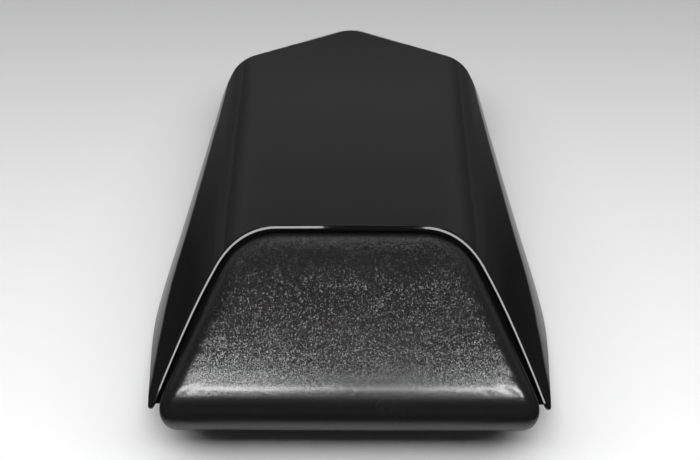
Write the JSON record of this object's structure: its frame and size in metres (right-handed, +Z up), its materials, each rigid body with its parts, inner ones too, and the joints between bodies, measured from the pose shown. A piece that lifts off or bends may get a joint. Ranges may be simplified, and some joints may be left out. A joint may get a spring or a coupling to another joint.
{
  "type": "motorbike solo seat cowl",
  "caption": "Gloss moulded cowl with a pointed tail that takes the place of a passenger seat, with a grained backrest pad set into its sloping front and a lock striker below.",
  "frame": {"origin": "middle of the bounding box at the height of the lower edge that the cowl stands on", "axes": "+Y towards the tail point, +X to the rider's right, +Z up"},
  "size_m": [0.2648, 0.358, 0.1019],
  "materials": {
    "shell_gloss": "gloss black lacquer",
    "pad_grain": "fine grained black skin on foam",
    "plate_matte": "matt black as moulded",
    "fastener_steel": "zinc plated",
    "striker_steel": "zinc plated",
    "bumper_rubber": "matt"
  },
  "bodies": {
    "root": {"cowl_shell": "shell_gloss", "backrest_pad": "pad_grain", "pad_backing_plate": "plate_matte", "pad_screws": "fastener_steel", "pad_washers": "fastener_steel", "base_plate": "plate_matte", "base_plate_screws": "fastener_steel", "lock_striker": "striker_steel", "striker_bolts": "fastener_steel", "striker_washers": "fastener_steel", "striker_nuts": "fastener_steel", "support_bumpers": "bumper_rubber"}
  },
  "joints": []
}
